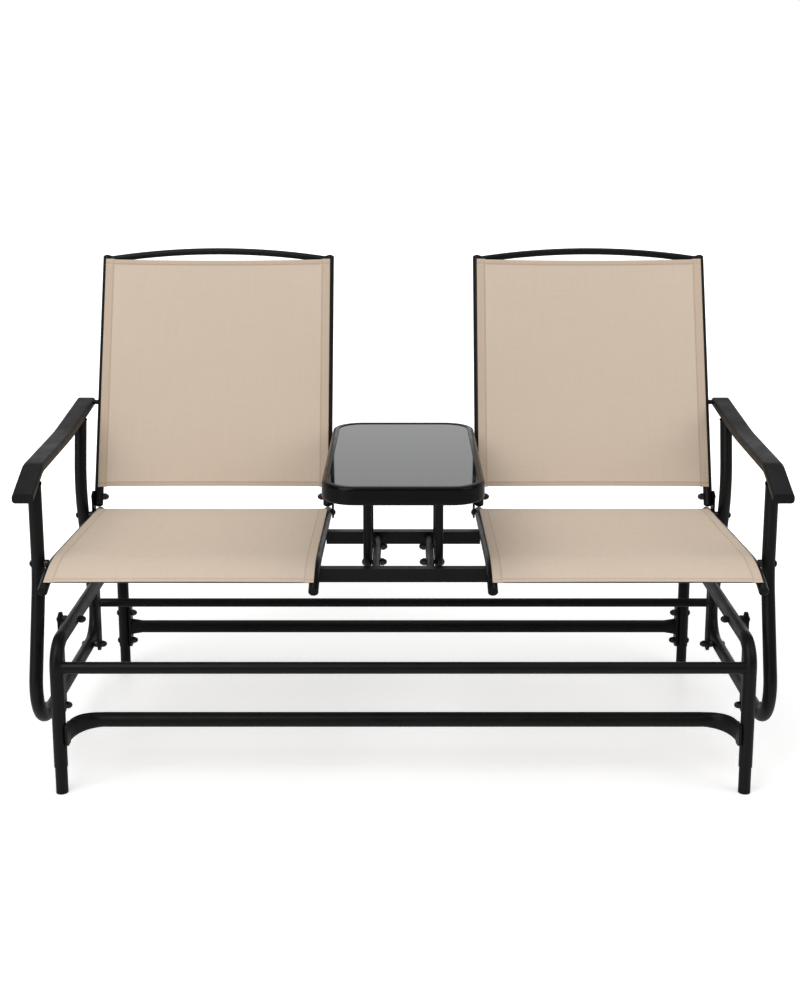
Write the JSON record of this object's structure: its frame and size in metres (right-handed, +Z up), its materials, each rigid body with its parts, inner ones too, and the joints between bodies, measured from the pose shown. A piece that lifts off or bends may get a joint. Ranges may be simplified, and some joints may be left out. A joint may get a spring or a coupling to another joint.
{
  "type": "double glider loveseat",
  "caption": "Side-by-side patio glider with sling seats and backs, armrests and a glass-topped centre table, hung on swinging flat links in a black tube base.",
  "frame": {"origin": "on the floor, under the middle of the whole piece", "axes": "+X to the right of somebody who faces the seat, +Y to its back, +Z up"},
  "size_m": [1.434, 0.7366, 0.9582],
  "materials": {
    "frame": "satin black powder coat on steel tube",
    "fastener": "black coated steel",
    "sling_fabric": "beige woven sling mesh",
    "table_glass": "smoked tempered glass",
    "table_rim": "satin black rim",
    "glass_pad": "soft black pad",
    "bush": "black nylon",
    "end_plug": "black plug"
  },
  "bodies": {
    "base": {"base_side_left": "frame", "base_side_right": "frame", "front_crossbar": "frame", "front_stretcher": "frame", "rear_stretcher": "frame", "leg_feet": "frame", "stretcher_bolts": "fastener", "hanger_bolts": "fastener", "hanger_spacers": "fastener", "base_cap_nuts": "fastener"},
    "link_front_left": {"link_front_left": "frame", "bushes_front_left": "bush"},
    "link_front_right": {"link_front_right": "frame", "bushes_front_right": "bush"},
    "link_rear_left": {"link_rear_left": "frame", "bushes_rear_left": "bush"},
    "link_rear_right": {"link_rear_right": "frame", "bushes_rear_right": "bush"},
    "seat": {"arm_loop_left": "frame", "arm_loop_right": "frame", "arm_pegs": "frame", "armrest_left": "frame", "armrest_right": "frame", "back_bolts": "fastener", "back_plates": "frame", "back_sling_left": "sling_fabric", "back_sling_right": "sling_fabric", "back_top_rail_left": "frame", "back_top_rail_right": "frame", "back_tube_inner_left": "frame", "back_tube_inner_right": "frame", "back_tube_outer_left": "frame", "back_tube_outer_right": "frame", "centre_bar_front": "frame", "centre_bar_rear": "frame", "glass_pads": "glass_pad", "pivot_bolts": "fastener", "rear_crossbar": "frame", "seat_cap_nuts": "fastener", "seat_front_tube_left": "frame", "seat_front_tube_right": "frame", "seat_rail_inner_left": "frame", "seat_rail_inner_right": "frame", "seat_rail_outer_left": "frame", "seat_rail_outer_right": "frame", "seat_rear_tube_left": "frame", "seat_rear_tube_right": "frame", "seat_sling_left": "sling_fabric", "seat_sling_right": "sling_fabric", "seat_spacers": "fastener", "side_bolts": "fastener", "table_bolts": "fastener", "table_glass": "table_glass", "table_leg_left": "frame", "table_leg_right": "frame", "table_rim": "table_rim", "table_straps": "frame", "table_tube_left": "frame", "table_tube_right": "frame", "tube_plugs": "end_plug"}
  },
  "joints": [
    {"name": "glide", "type": "hinge", "parent": "base", "child": "link_front_left", "pos_m": [-0.665, -0.189, 0.289], "axis": [1, 0, 0], "range_deg": [-16, 16]},
    {"name": "seat_swing", "type": "hinge", "parent": "link_front_left", "child": "seat", "pos_m": [-0.665, -0.189, 0.112], "axis": [1, 0, 0], "range_deg": [-16, 16]},
    {"name": "swing_front_right", "type": "hinge", "parent": "base", "child": "link_front_right", "pos_m": [0.665, -0.189, 0.289], "axis": [1, 0, 0], "range_deg": [-16, 16]},
    {"name": "swing_rear_left", "type": "hinge", "parent": "base", "child": "link_rear_left", "pos_m": [-0.665, 0.141, 0.289], "axis": [1, 0, 0], "range_deg": [-16, 16]},
    {"name": "swing_rear_right", "type": "hinge", "parent": "base", "child": "link_rear_right", "pos_m": [0.665, 0.141, 0.289], "axis": [1, 0, 0], "range_deg": [-16, 16]}
  ],
  "couplings": [
    {"joint": "seat_swing", "follows": "glide", "ratio": -1},
    {"joint": "swing_front_right", "follows": "glide", "ratio": 1},
    {"joint": "swing_rear_left", "follows": "glide", "ratio": 1},
    {"joint": "swing_rear_right", "follows": "glide", "ratio": 1}
  ]
}
